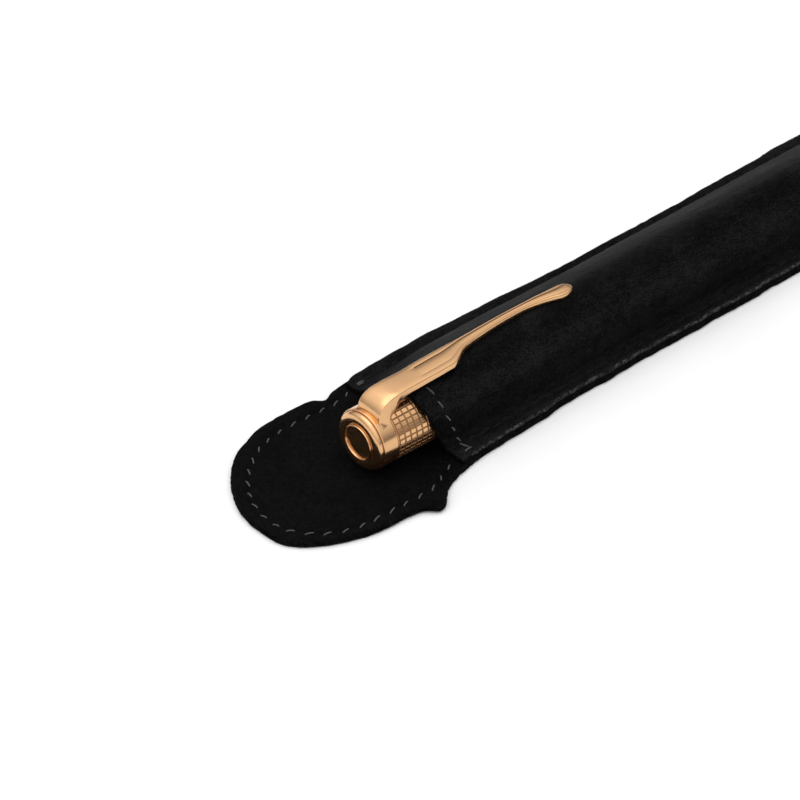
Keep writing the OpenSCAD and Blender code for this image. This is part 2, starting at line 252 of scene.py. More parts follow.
M_CUT = edge_mat("leather_cut_edge", (0.006, 0.0058, 0.0056), (0.092, 0.089, 0.086))
M_CUT_DARK = edge_mat("leather_cut_edge_dark", (0.0006, 0.0006, 0.0006), (0.0085, 0.0082, 0.0082))


def thread_mat(name, lo, hi, shine=0.1):
    m, nt, b = new_mat(name)
    v = coords(nt)
    a = tex(nt, v, 7000, 2, 0.6)
    nt.links.new(ramp(nt, a, [(0.3, (lo, lo, lo * 1.03)), (0.7, (hi, hi, hi * 1.02))]), b.inputs["Base Color"])
    b.inputs["Roughness"].default_value = 0.7
    b.inputs["Sheen Weight"].default_value = shine
    b.inputs["Specular IOR Level"].default_value = min(0.5, shine * 5)
    nt.links.new(bump(nt, a, 0.4, 0.00005), b.inputs["Normal"])
    return m


M_THREAD = thread_mat("thread_grey", 0.020, 0.070)
# painted shade: the same thread as thread_grey, painted darker and with less sheen, for the seams whose threads lie in
# the pile's shadow
M_THREAD_SHADED = thread_mat("thread_painted_shade", 0.003, 0.012, 0.02)


def gold(name, col, rough, scratch=0.03, darken_low=0.0):
    m, nt, b = new_mat(name)
    v = coords(nt)
    vs = coords(nt, (1, 14, 14))
    a = tex(nt, vs, 900, 3, 0.6)
    c = tex(nt, v, 90, 2, 0.5)
    b.inputs["Metallic"].default_value = 0.985
    b.inputs["Sheen Weight"].default_value = 0.02
    b.inputs["Sheen Roughness"].default_value = 0.6
    b.inputs["Sheen Tint"].default_value = (1.0, 0.30, 0.12, 1)
    mix = mathn(nt, "ADD", mathn(nt, "MULTIPLY", a, 0.5), mathn(nt, "MULTIPLY", c, 0.5))
    # darken_low makes the dark end of the colour ramp darker still; gold_line and gold_groove use it
    lo = tuple(x * (1 - 0.05 - darken_low) for x in col)
    nt.links.new(ramp(nt, mix, [(0.35, lo), (0.65, col)]), b.inputs["Base Color"])
    nt.links.new(maprange(nt, mix, 0.3, 0.7, rough - scratch, rough + scratch), b.inputs["Roughness"])
    return m


M_GOLD = gold("gold_polished", (0.75, 0.44, 0.22), 0.17)
M_LINE = gold("gold_line", (0.10, 0.04, 0.016), 0.5, 0.05, 0.2)
M_GROOVE = gold("gold_groove", (0.36, 0.18, 0.08), 0.42, 0.08, 0.2)


def plain(name, col, rough, metal=0.0, spec=0.5, scale=1500, vary=0.12, streak=(1, 1, 1)):
    m, nt, b = new_mat(name)
    v = coords(nt, streak)
    a = tex(nt, v, scale, 3, 0.6)
    lo, hi = tuple(x * (1 - vary) for x in col), tuple(min(1, x * (1 + vary)) for x in col)
    nt.links.new(ramp(nt, a, [(0.3, lo), (0.7, hi)]), b.inputs["Base Color"])
    nt.links.new(maprange(nt, a, 0.3, 0.7, max(0.02, rough - 0.05), rough + 0.05), b.inputs["Roughness"])
    nt.links.new(bump(nt, a, 0.06, 0.00005), b.inputs["Normal"])
    b.inputs["Metallic"].default_value = metal
    b.inputs["Specular IOR Level"].default_value = spec
    return m


M_BLACK = plain("plastic_black", (0.012, 0.012, 0.013), 0.22)
M_STEEL = plain("steel_fine", (0.58, 0.58, 0.6), 0.3, 1.0, streak=(1, 20, 20))


# ------------------------------------------------------------------------------ the sleeve's outlines, in mm
X_END, R_END, SEAM_END = 133.0, 7.0, 130.4
BACK_T, FLANGE_T, TOP_Z = 1.1, 0.9, 2.0
PEN_Y, PEN_Z, GAP = -5.05, 6.5, 0.2
CAP_R = 5.3

tongue_near = spline([(4, -14.4), (1, -14.9), (-1.2, -15.4), (-3.4, -16.0), (-5.4, -16.8), (-7.2, -18.2), (-8.55, -19.6), (-9.7, -20.35), (-10.8, -20.35), (-11.6, -19.65), (-12.7, -18.75),
                      (-14.6, -18.35), (-17.2, -18.1), (-21.5, -17.75), (-25.3, -16.6), (-28.8, -14.95), (-32.0, -12.8), (-33.95, -10.2), (-34.38, -7.6), (-34.42, -6.2)], 8)
tongue_far = spline([(-34.42, -4.8), (-34.3, -3.0), (-33.6, 0.0), (-32.2, 3.0), (-30.4, 5.8), (-28, 8.5), (-25.4, 10.4), (-22.6, 11.7), (-19.2, 12.95), (-16.3, 13.3), (-13, 13.42), (-9.8, 13.35),
                     (-7.9, 13.15), (-7.0, 12.7), (-6.4, 12.0), (-5.7, 11.75), (-4.9, 12.1), (-3.9, 12.55), (-2.6, 12.85), (-0.8, 12.95), (2, 12.93), (6, 13.08)], 8)
side_near = spline([(4, -14.45), (8, -14.3), (12, -14.15), (16, -14.0), (20, -13.65), (24, -13.35), (28, -13.3), (33, -13.35), (40, -13.1), (46, -13.2), (51, -13.3), (55, -13.1), (60, -13.4),
                    (64, -13.3), (67, -13.05), (75, -13.15), (88, -13.0), (100, -13.1), (115, -12.95), (133, -12.9)], 6)
side_far = spline([(6, 13.08), (12, 13.25), (18, 13.3), (24, 12.98), (33, 12.7), (43, 12.05), (53, 12.1), (60, 11.98), (66, 11.95), (72, 11.95), (80, 12.2), (88, 12.35), (94, 12.6), (101, 12.6), (118, 12.4), (133, 12.3)], 6)
_n = np.vstack([tongue_near[::-1], side_near[1:]])
_f = np.vstack([tongue_far, side_far[1:]])


def _round(x):
    u = np.clip((x - X_END + R_END) / R_END, 0, 1)
    return R_END * (1 - np.sqrt(np.maximum(0, 1 - u * u)))


def near_back(x, wob=1.0):
    return np.interp(x, _n[:, 0], _n[:, 1]) + _round(x) + wob * (0.12 * noise3(x, 3.0, 0.0, 2.6) + 0.09 * noise3(x, 7.0, 0.0, 1.1)) * sm((x + 33) / 4)


def far_back(x, wob=1.0):
    return np.interp(x, _f[:, 0], _f[:, 1]) - _round(x) + wob * (0.12 * noise3(x, 23.0, 0.0, 3.1) + 0.10 * noise3(x, 27.0, 0.0, 1.2)) * sm((x + 33) / 4)


def stations(a, b, step, soft_a=0.0, soft_b=0.0):
    """From a to b; the steps start small, where the outline turns, when soft is given."""
    out, x, k = [a], a, 1
    while x < b - 1e-6:
        d = step
        if soft_a:
            d = min(d, 0.04 + 0.10 * (len(out) - 1))
        if soft_b:
            rem = b - x
            d = min(d, max(0.04, rem * 0.22))
        x = min(b, x + d)
        out.append(x)
    if len(out) > 2 and out[-1] - out[-2] < 0.02:
        out.pop(-2)
    return np.array(out)


def closed_sheet(name, P0, P1, mats, cut=0.08, rough=0.05, rows=3, face_mats=(0, 1, 2), raw=0.0, lip_mat=None):
    """A closed sheet between the grids P0 (outer face) and P1 (inner face), with a rounded, slightly ragged cut edge."""
    ni, nj = P0.shape[:2]
    idx = np.arange(ni * nj).reshape(ni, nj)
    verts = [P0.reshape(-1, 3), P1.reshape(-1, 3)]
    o = ni * nj
    quads = np.stack([idx[:-1, :-1], idx[1:, :-1], idx[1:, 1:], idx[:-1, 1:]], -1).reshape(-1, 4)
    faces = quads.tolist() + (quads[:, ::-1] + o).tolist()
    border = np.minimum(np.linalg.norm(P0 - P0[:, :1], axis=2), np.linalg.norm(P0 - P0[:, -1:], axis=2))
    border = border + 0.12 * noise3(P0[..., 0], P0[..., 1], 3.0, 0.7)
    near_edge = ((border[:-1, :-1] + border[1:, 1:]) / 2 < raw)
    near_edge[:6] = False
    near_edge = near_edge.ravel()
    fm = np.where(near_edge, face_mats[2], face_mats[0]).tolist() + [face_mats[1]] * len(quads)
    loop = [(i, 0) for i in range(ni)] + [(ni - 1, j) for j in range(1, nj)] + [(i, nj - 1) for i in range(ni - 2, -1, -1)] + [(0, j) for j in range(nj - 2, 0, -1)]
    inner = [(min(max(i, 1), ni - 2), min(max(j, 1), nj - 2)) for i, j in loop]
    L, I = np.array(loop), np.array(inner)
    a, b = P0[L[:, 0], L[:, 1]], P1[L[:, 0], L[:, 1]]
    mid = (a + b) / 2
    t = np.roll(mid, -1, 0) - np.roll(mid, 1, 0)
    t /= np.linalg.norm(t, axis=1)[:, None] + 1e-12
    w = b - a
    out = np.cross(t, w)
    out /= np.linalg.norm(out, axis=1)[:, None] + 1e-12
    inw = (P0[I[:, 0], I[:, 1]] + P1[I[:, 0], I[:, 1]]) / 2 - mid
    out *= np.where((out * inw).sum(1) > 0, -1, 1)[:, None]
    base = 2 * o
    n, f = len(loop), 3                   # f points of the cut edge for each point of the face's border
    at = (np.arange(n)[:, None] + np.arange(f)[None, :] / f).ravel()

    def fine(v):
        k = np.floor(at).astype(int)
        u = (at - k)[:, None]
        return v[k] * (1 - u) + v[(k + 1) % n] * u
    a, w, out = fine(a), fine(w), fine(out)
    out /= np.linalg.norm(out, axis=1)[:, None] + 1e-12
    tuft = np.abs(rng.normal(0, 1, n * f))
    tuft = (tuft + np.roll(tuft, 1)) / 2 - 0.6
    for k in range(1, rows + 1):
        s = k / (rows + 1)
        p = a + w * s
        nz = noise3(p[:, 0], p[:, 1], p[:, 2] + 40 * k, 0.9) * 0.6 + noise3(p[:, 0], p[:, 1], p[:, 2] + 9, 0.4) * 0.5 + tuft * 0.55 + rng.normal(0, 0.25, len(p))
        verts.append(p + out * (cut * math.sin(math.pi * s) ** 0.6 + rough * np.clip(nz, -1.2, 1.8))[:, None])
    rim0 = L[:, 0] * nj + L[:, 1]
    edge = np.where(L[:, 0] <= 4, face_mats[2] if lip_mat is None else lip_mat, face_mats[2])
    rings = [base + k * n * f + np.arange(n * f) for k in range(rows)]
    for border_ring, ring, up in ((rim0, rings[0], True), (rim0 + o, rings[-1], False)):
        nxt = np.roll(border_ring, -1)
        r = ring.reshape(n, f)
        r = np.concatenate([r, np.roll(r[:, :1], -1, 0)], 1)
        fans = [np.stack([border_ring, r[:, 1], r[:, 0]], -1), np.stack([border_ring, nxt, r[:, 2], r[:, 1]], -1), np.stack([nxt, r[:, 3], r[:, 2]], -1)]
        for q in fans:
            faces += (q if up else q[:, ::-1]).tolist()
            fm += edge.tolist()
    for r0, r1 in zip(rings, rings[1:]):
        q = np.stack([r0, np.roll(r0, -1), np.roll(r1, -1), r1], -1)
        faces += q.tolist()
        fm += np.repeat(edge, f).tolist()
    return make(name, np.vstack(verts), faces, mats, fm)


# ------------------------------------------------------------------------------ stitch lines
tongue_line = spline([(-1.8, 10.7), (-3.2, 10.35), (-4.6, 10.0), (-6.4, 9.95), (-9.2, 10.1), (-11.7, 10.2), (-14.2, 10.3), (-17.2, 10.2), (-20.2, 9.6), (-22.6, 8.7), (-25.1, 7.1), (-27.5, 5.2), (-29.6, 2.7), (-31.2, 0.0), (-32.1, -2.9), (-32.3, -5.8),
                      (-32.0, -8.4), (-30.8, -10.7), (-28.9, -12.8), (-26.8, -14.3), (-23.9, -15.4), (-20.8, -15.9), (-17.6, -16.1), (-15.0, -16.2), (-11.8, -16.3), (-8.6, -16.2), (-6.2, -15.3), (-4.2, -14.3), (-2.4, -13.7), (-0.6, -13.1)], 12)


def near_stitch(x):
    return -11.5 - 0.55 * np.exp(-np.maximum(x, 0) / 18)


def far_stitch(x):
    return 10.75 - 0.38 * sm((np.asarray(x, float) - 22) / 22)


def along(line, pitch, start=0.0, jitter=0.08):
    """Points and tangents along a 2D line, one for each stitch."""
    seg = np.linalg.norm(np.diff(line, axis=0), axis=1)
    s = np.concatenate([[0], np.cumsum(seg)])
    n = int((s[-1] - start) / pitch)
    at = start + pitch * (np.arange(n + 1)) + rng.normal(0, jitter, n + 1)
    at = at[(at > 0) & (at < s[-1])]
    p = np.stack([np.interp(at, s, line[:, k]) for k in range(line.shape[1])], -1)
    q = np.stack([np.interp(at + 0.05, s, line[:, k]) for k in range(line.shape[1])], -1)
    t = q - p
    return p, t / (np.linalg.norm(t, axis=1)[:, None] + 1e-12)


PITCH = 2.85
tongue_st = along(tongue_line, PITCH, 0.6)


def dips(x, y, line, pts, depth=0.14, width=0.42, pucker=0.12):
    """How far a stitch line presses the leather down at x, y: a shallow valley, deeper at each needle hole."""
    x, y = np.asarray(x, float), np.asarray(y, float)
    shape, x, y = x.shape, x.ravel(), y.ravel()
    d2 = np.full(x.shape, 1e9)
    near = np.ones(x.shape, bool)
    for k in range(0, len(line), 64):
        seg = line[max(0, k - 1):k + 64]
        d2 = np.minimum(d2, ((x[:, None] - seg[None, :, 0]) ** 2 + (y[:, None] - seg[None, :, 1]) ** 2).min(1))
    d = np.sqrt(d2)
    close = d < 2.5
    h2 = np.full(x.shape, 1e9)
    if close.any() and len(pts):
        h2[close] = ((x[close, None] - pts[None, :, 0]) ** 2 + (y[close, None] - pts[None, :, 1]) ** 2).min(1)
    out = -depth * np.exp(-(d / width) ** 2) - pucker * np.exp(-h2 / 0.42 ** 2) * 0.8
    out += 0.10 * np.exp(-((d - 1.25) / 0.55) ** 2)
    return out.reshape(shape)


# ------------------------------------------------------------------------------ back panel and tongue
def lift(x, y):
    """How far the tongue stands off the table: it doesn't lie quite flat."""
    t = sm((-x - 4) / 14)
    a = 0.16 * t * (0.5 + 0.5 * noise3(x, y, 2.0, 8.0)) * (1 - 0.9 * np.exp(-((y - PEN_Y) / 3.0) ** 4))
    near = 0.22 * np.exp(-(((x + 10.5) / 3.5) ** 2 + ((y + 19.5) / 2.2) ** 2))
    return a + near


def back_grid(xs, nv, inset):
    v = np.linspace(0, 1, nv)
    v = v + 0.0
    v = 0.5 - 0.5 * np.cos(np.pi * v) * 0.35 - 0.5 * (1 - 2 * v) * 0.65  # a little closer together at the edges
    X = np.repeat(xs[:, None], nv, 1)
    a, b = near_back(xs), far_back(xs)
    Y = a[:, None] + inset + (b - a - 2 * inset)[:, None] * v[None, :]
    return X, Y


xs_back = stations(-34.42, X_END, 0.5, soft_a=1, soft_b=1)
X, Y = back_grid(xs_back, 14, 0.0)
LZ = lift(X, Y)
back = closed_sheet("back_leather", np.stack([X, Y, np.full(X.shape, 0.68) + LZ], -1), np.stack([X, Y, 0.08 + 0.04 * noise3(X, Y, 9.0, 1.8) + LZ * 0.9], -1), [M_NAP, M_NAP, M_CUT_DARK], cut=0.09, rough=0.10, rows=3)
xs_lin = stations(-34.36, X_END - 0.1, 0.42, soft_a=1, soft_b=1)
X, Y = back_grid(xs_lin, 84, 0.06)
LZ = lift(X, Y)
tongue_area = sm((-X + 1.5) / 2.5)
relief = dips(X, Y, tongue_line, tongue_st[0] - tongue_st[1] * 0.85) + 0.05 * noise3(X, Y, 0.0, 2.2) + 0.03 * noise3(X, Y, 5.0, 0.9)
edge_d = np.minimum(Y - near_back(X[:, 0])[:, None], far_back(X[:, 0])[:, None] - Y)
relief -= 0.12 * (1 - sm(edge_d / 0.7))
relief = relief * tongue_area + 0.06 * tongue_area
path = np.exp(-((Y - PEN_Y) / 2.6) ** 4)        # pressed flat where the pen slides over it
relief = relief * (1 - 0.85 * path) - 0.05 * path * tongue_area
relief = np.where(X > -2, np.minimum(relief, 0.0), relief)
top = np.stack([X, Y, BACK_T + LZ + relief], -1)
lining = closed_sheet("back_lining_nap", top, np.stack([X, Y, np.full(X.shape, 0.70) + LZ], -1), [M_NAP, M_NAP, M_CUT_DARK], cut=0.05, rough=0.10, rows=2)


def tongue_top(x, y):
    return BACK_T + 0.06 + lift(x, y)


# ------------------------------------------------------------------------------ front panel
def pen_r(x):
    return np.interp(x, [52, 112], [CAP_R, 4.4])


def rise(x):
    u = np.clip((x - 113.0) / (SEAM_END - 0.4 - 113.0), 0, 1)
    return (1 - u ** 3) ** (1 / 3)


SEG = (16, 8, 46, 32, 16)                # near flange, foot, round the pen, slope, far flange


def front_sect(xs, d):
    """Cross-sections of the front panel at the stations xs, at inset d from its outer face."""
    x = xs[:, None]
    nA, nB, nC, nD, nE = SEG
    turn = _round(xs)[:, None]
    yN = near_back(xs)[:, None] - turn + 0.12
    yF = far_back(xs)[:, None] + turn - 0.12 - 0.75 * (1 - sm(x / 2.6)) ** 1.5
    fn = near_stitch(x) + 0.62 + d * 0.8
    k = sm((x - 22) / 22)
    ff = far_stitch(x) - 0.45 - d * 0.8
    zf = TOP_Z - d
    ro = pen_r(x) + GAP + 0.9 - d
    m = sm((x - 1.0) / 12)                # 0 at the mouth, where the leather hugs the pen further down
    a0, a1 = math.radians(192), np.radians(lerp(34, 62, m))
    h = rise(x)
    Ys, Zs = [], []
    t = (np.arange(nA) / nA)[None, :]
    Ys.append(lerp(yN, fn, t)); Zs.append(zf + 0 * Ys[-1])
    t = (np.arange(nB) / nB)[None, :]
    wy, wz = PEN_Y + ro * math.cos(a0), PEN_Z + ro * math.sin(a0)
    Ys.append(lerp(fn, lerp(fn, wy, t), h)); Zs.append(lerp(zf, lerp(zf, wz, t), h))
    t = (np.arange(nC) / nC)[None, :]
    a = a0 + (a1 - a0) * t
    ty, tz = PEN_Y + ro * np.cos(a1), PEN_Z + ro * np.sin(a1)
    Ys.append(lerp(lerp(fn, ty, (t * nC + 1) / (nC + 1)), PEN_Y + ro * np.cos(a), sm(h * 1.4))); Zs.append(lerp(zf, PEN_Z + ro * np.sin(a), h))
    # from there it arches over to a steep foot at the far seam
    t = (np.arange(nD) / nD)[None, :]
    reach = np.hypot(ff - ty, tz - zf) / 15.9
    p1y, p1z = ty + (5.0 - 0.5 * k) * reach * np.sin(a1), tz - (5.0 - 0.5 * k) * reach * np.cos(a1)
    p2y, p2z = ff - lerp(1.9, (2.7 - 0.3 * k) * reach * 0.375, m), zf + lerp(0.1, (2.7 - 0.3 * k) * reach * 0.927, m)
    w0, w1, w2, w3 = (1 - t) ** 3, 3 * t * (1 - t) ** 2, 3 * t * t * (1 - t), t ** 3
    Ys.append(lerp(lerp(ty, ff, t), w0 * ty + w1 * p1y + w2 * p2y + w3 * ff, sm(h * 1.4))); Zs.append(lerp(zf, w0 * tz + w1 * p1z + w2 * p2z + w3 * zf, h))
    t = (np.arange(nE) / (nE - 1))[None, :]
    Ys.append(lerp(ff, yF, t)); Zs.append(zf + 0 * Ys[-1])
    Yg, Zg = np.concatenate(Ys, 1), np.concatenate(Zs, 1)
    for _ in range(3):                    # soften the creases
        Yg[:, 1:-1] = (Yg[:, :-2] + 2 * Yg[:, 1:-1] + Yg[:, 2:]) / 4
        Zg[:, 1:-1] = (Zg[:, :-2] + 2 * Zg[:, 1:-1] + Zg[:, 2:]) / 4
    Zg = np.maximum(Zg, zf)
    # round the two corners of the closed end
    middle, half = (yN + yF) / 2, (yF - yN) / 2
    return middle + (Yg - middle) * (1 - turn / half), Zg


def lean(x, z, y):
    far = sm((y - 0.5) / 5)
    return -0.9 * (1 - sm(x / 8)) - 4.1 * (np.maximum(0, z - TOP_Z) / 10.9) ** 0.85 * (1 - sm(x / 13)) * (1 - 0.72 * far) - 0.3 * far * (1 - sm(x / 10))


def front_grid(xs, d):
    Yg, Zg = front_sect(xs, d)
    Xg = xs[:, None] + lean(xs[:, None], Zg + d, Yg)
    return np.stack([Xg, Yg, Zg], -1)


def normals(P):
    a = np.gradient(P, axis=0)
    b = np.gradient(P, axis=1)
    n = np.cross(a, b)
    return n / (np.linalg.norm(n, axis=2)[:, :, None] + 1e-12)


xs_front = np.concatenate([[0, 0.25, 0.6], stations(1.0, X_END - 0.12, 0.46, soft_b=1)])
F0 = front_grid(xs_front, 0.0)
NF = normals(F0)
if NF[40, 40, 2] < 0:
    NF = -NF
near_line = np.array([(x, float(near_stitch(x))) for x in np.arange(2.6, SEAM_END - 1.5, 0.25)])
far_line = np.array([(x, float(far_stitch(x))) for x in np.arange(2.0, SEAM_END - 1.5, 0.25)])
end_line = np.array([(SEAM_END, y) for y in np.arange(-9.8, 9.6, 0.25)])
near_st, far_st, end_st = along(near_line, PITCH, 0.7), along(far_line, PITCH, 0.5), along(end_line, PITCH, 1.0)
Xf, Yf, Zf = F0[..., 0], F0[..., 1], F0[..., 2]
flat = np.exp(-np.maximum(0, Zf - TOP_Z) / 0.5)
disp = np.zeros(Xf.shape)
for line, st, k in ((near_line, near_st, 1.0), (far_line, far_st, 0.45), (end_line, end_st, 1.0)):
    disp += dips(Xf, Yf, line, st[0] - st[1] * 0.8, depth=0.16 * k, width=0.45, pucker=0.12 * k) * sm(flat * 1.6)
near_pen = np.exp(-(np.maximum(0, np.abs(Yf - PEN_Y) - 3.0) / 2.0) ** 2) * sm((Zf - 8.5) / 3)
calm = 1 - 0.6 * sm((Yf - 0.0) / 4)
wav = calm * (0.20 * noise3(Xf * 0.5, Yf, Zf, 9.0) + 0.08 * noise3(Xf * 0.7, Yf, Zf, 3.5) + 0.04 * noise3(Xf, Yf, Zf, 1.4))
disp += np.where(near_pen > 0.02, 0.05 * noise3(Xf, Yf, Zf, 3.0), 0) * near_pen + wav * (1 - near_pen) * (1 - 0.75 * flat)
# the hem: a shallow valley behind the lip, where its stitches pull in
behind = Xf - F0[0:1, :, 0]
HEM = 2.75 + 0.35 * sm((F0[0:1, :, 2] - 8) / 4.5)
raised = sm((Zf - TOP_Z - 0.2) / 1.0)
disp += raised * (-0.13 * np.exp(-((behind - HEM) / 0.5) ** 2) + 0.09 * np.exp(-((behind - 1.4) / 0.9) ** 2) + 0.07 * np.exp(-((behind - 4.6) / 1.0) ** 2))
lip_edge = np.exp(-behind / 0.35)
disp -= 0.12 * lip_edge
edge_j = np.minimum(np.abs(Yf - Yf[:, :1]), np.abs(Yf - Yf[:, -1:]))
disp -= 0.10 * (1 - sm(edge_j / 0.6))
F0d = F0 + NF * disp[..., None]
F0d[..., 2] = np.maximum(F0d[..., 2], TOP_Z - 0.35)
F1 = front_grid(xs_front, 0.6)
front = closed_sheet("front_leather", F0d, F1, [M_FRONT, M_INNER, M_CUT, M_CUT_DARK], cut=0.06, rough=0.12, rows=3, raw=0.14, lip_mat=3)

xs_fl = np.concatenate([[0.15, 0.5, 1.0], stations(1.6, X_END - 0.2, 1.1, soft_b=1)])
G0, G1 = front_grid(xs_fl, 0.61), front_grid(xs_fl, 0.9)
lin2 = closed_sheet("front_lining_nap", G0[:, ::2], G1[:, ::2], [M_INNER, M_INNER, M_CUT_DARK], cut=0.02, rough=0.03, rows=1)


def on_front(x, j):
    """The point and the normal of the front panel's outer face at station x and column j, both of which may be fractions."""
    i = np.interp(x, xs_front, np.arange(len(xs_front)))
    i0, j0 = np.minimum(np.floor(i).astype(int), len(xs_front) - 2), np.minimum(np.floor(j).astype(int), F0d.shape[1] - 2)
    fi, fj = (i - i0)[..., None], (j - j0)[..., None]

    def pick(G):
        return (G[i0, j0] * (1 - fi) + G[i0 + 1, j0] * fi) * (1 - fj) + (G[i0, j0 + 1] * (1 - fi) + G[i0 + 1, j0 + 1] * fi) * fj
    n = pick(NF)
    return pick(F0d), n / np.linalg.norm(n, axis=-1)[..., None]


# ------------------------------------------------------------------------------ threads
def stitch_mesh(name, P, T, N, length=1.75, r=0.17, rise_h=0.16, slant=7.0, mat=None, plies=3):
    """Short twisted threads at the points P, along T, standing on the surface with normal N, their ends sunk into the needle holes."""
    verts, faces, base = [], [], 0
    S, A = 11, 12
    s = np.linspace(-1, 1, S)
    ang = np.linspace(0, 2 * np.pi, A, endpoint=False)
    for p, t, n in zip(P, T, N):
        n = n / np.linalg.norm(n)
        t = t - n * (t @ n)
        t = t / np.linalg.norm(t)
        q = np.cross(n, t)
        yaw = math.radians(slant + rng.normal(0, 2.0))
        t2 = t * math.cos(yaw) + q * math.sin(yaw)
        q2 = np.cross(n, t2)
        half = length / 2 * (1 + float(np.clip(rng.normal(0, 0.10), -0.25, 0.2)))
        h = rise_h * (1 - np.abs(s) ** 3.0 * 2.2) - abs(rng.normal(0, 0.025))
        c = p[None] + t2[None] * (s * half)[:, None] + n[None] * h[:, None]
        rr = r * (1 - 0.25 * np.abs(s) ** 4)
        ph = rng.random() * 6.28
        for k in range(S):
            rad = rr[k] * (1 + 0.16 * np.cos(plies * (ang - 5.2 * s[k] - ph)))
            verts.append(c[k] + q2[None] * (rad * np.cos(ang))[:, None] + n[None] * (rad * np.sin(ang) * 0.85)[:, None])
        g = base + np.arange(S * A).reshape(S, A)
        a, b = g[:-1], g[1:]
        faces += np.stack([a, np.roll(a, -1, 1), np.roll(b, -1, 1), b], -1).reshape(-1, 4).tolist()
        faces.append(g[0][::-1].tolist())
        faces.append(g[-1].tolist())
        base += S * A
    return make(name, np.vstack(verts), faces, mat or M_THREAD)


def flat_stitches(name, st, height, keep=None, **kw):
    p, t = st
    if keep is not None:
        m = keep(p)
        p, t = p[m], t[m]
    P = np.stack([p[:, 0], p[:, 1], height(p[:, 0], p[:, 1])], -1)
    T = np.stack([t[:, 0], t[:, 1], 0 * t[:, 0]], -1)
    return stitch_mesh(name, P, T, np.tile([0, 0, 1.0], (len(P), 1)), **kw)


FOLD = -17.1
tt = lambda x, y: tongue_top(x, y) - 0.10 - 0.12 * np.exp(-((y - PEN_Y) / 3.4) ** 4) * sm((-x - 26) / 3)
thin = dict(r=0.125, rise_h=0.13, length=1.65, slant=22)
t_root = flat_stitches("tongue_stitches_root", tongue_st, tt, lambda p: p[:, 0] > FOLD + 1.0, **thin)
t_tip = flat_stitches("tongue_stitches", tongue_st, tt, lambda p: p[:, 0] <= FOLD - 1.0, **thin)
t_mid = flat_stitches("tongue_stitches_fold", tongue_st, tt, lambda p: np.abs(p[:, 0] - FOLD) < 1.0, **thin)
sz = lambda x, y: TOP_Z - 0.17 + 0 * x
# the seams of the front panel get the thread with painted shade
thin["mat"] = M_THREAD_SHADED
del thin["slant"]
s_near = flat_stitches("near_seam_stitches", near_st, sz, slant=5, **thin)
s_far = flat_stitches("far_seam_stitches", far_st, sz, slant=-5, **thin)
s_end = flat_stitches("end_seam_stitches", end_st, sz, **thin)
# on the underside each thread shows between the stitches of the upper side


def under(name, parts, keep):
    p = np.concatenate([q + t * (PITCH / 2) for q, t in parts])
    t = np.concatenate([t for q, t in parts])
    m = keep(p)
    p, t = p[m], t[m]
    P = np.stack([p[:, 0], p[:, 1], 0.10 + lift(p[:, 0], p[:, 1]) * 0.9], -1)
    return stitch_mesh(name, P, np.stack([t[:, 0], t[:, 1], 0 * t[:, 0]], -1), np.tile([0, 0, -1.0], (len(P), 1)), r=0.11, rise_h=0.0, length=1.5, slant=10)


u_root = under("underside_stitches", (tongue_st, near_st, far_st, end_st), lambda p: (p[:, 0] > FOLD + 1.2) & ((p[:, 0] < 127.5) | (np.abs(p[:, 1]) < 8.6)))
u_tip = under("underside_stitches_tongue", (tongue_st,), lambda p: p[:, 0] <= FOLD - 1.2)
# the hem stitches follow the lip, a little behind it
js = np.arange(14.0, SEG[0] + SEG[1] + SEG[2] + 6, 0.25)
hem_at = np.interp(js, np.arange(F0.shape[1]), HEM[0])
hx = hem_at.copy()
for _ in range(6):
    P, N = on_front(hx, js)
    lipx = np.interp(js, np.arange(F0.shape[1]), F0[0, :, 0])
    hx = np.clip(hx + (hem_at - (P[:, 0] - lipx)), 0.5, 8)
P, N = on_front(hx, js)
seg = np.concatenate([[0], np.cumsum(np.linalg.norm(np.diff(P, axis=0), axis=1))])
at = np.arange(1.0, seg[-1] - 0.6, 2.7)
PH = np.stack([np.interp(at, seg, P[:, k]) for k in range(3)], -1)
NH = np.stack([np.interp(at, seg, N[:, k]) for k in range(3)], -1)
TH = np.stack([np.interp(at + 0.1, seg, P[:, k]) for k in range(3)], -1) - PH
s_hem = stitch_mesh("mouth_stitches", PH - NH * 0.05, TH, NH, slant=9, r=0.14, rise_h=0.14)
# heavier stitches at the mouth's two corners
tp = [(1.5, -12.0, 2.0), (1.7, -12.45, 1.95), (1.6, -13.4, 1.95), (0.4, 10.1, 1.9), (0.5, 10.5, 1.9)]
tdir = [(0.25, -1, 0), (0.3, -1, 0), (1, 0.1, 0), (1, -0.15, 0), (1, -0.1, 0)]
s_tack = stitch_mesh("corner_tacks", np.array(tp), np.array(tdir, float), np.tile([0, 0, 1.0], (len(tp), 1)), length=1.9, r=0.15, slant=0)


# ------------------------------------------------------------------------------ the pen
def profile(pts, rad=0.12, n=4):
    """A turned outline with its corners rounded: pts are (x, r) or (x, r, corner radius)."""
    P = [(p[0], p[1]) for p in pts]
    R = [p[2] if len(p) > 2 else rad for p in pts]
    out = [P[0]]
    for k in range(1, len(P) - 1):
        a, b, c = np.array(P[k - 1]), np.array(P[k]), np.array(P[k + 1])
        u, v = a - b, c - b
        lu, lv = np.linalg.norm(u), np.linalg.norm(v)
        t = min(R[k], 0.42 * lu, 0.42 * lv)
        u, v = u / lu, v / lv
        if t < 0.01 or (u @ v) < -0.999:
            out.append(tuple(b))
            continue
        if lu > 3 * t:
            out.append(tuple(b + u * t * 1.35))
        for s in np.linspace(0, 1, n + 1):
            out.append(tuple((1 - s) ** 2 * (b + u * t) + 2 * s * (1 - s) * b + s * s * (b + v * t)))
        if lv > 3 * t:
            out.append(tuple(b + v * t * 1.35))
    out.append(P[-1])
    return out


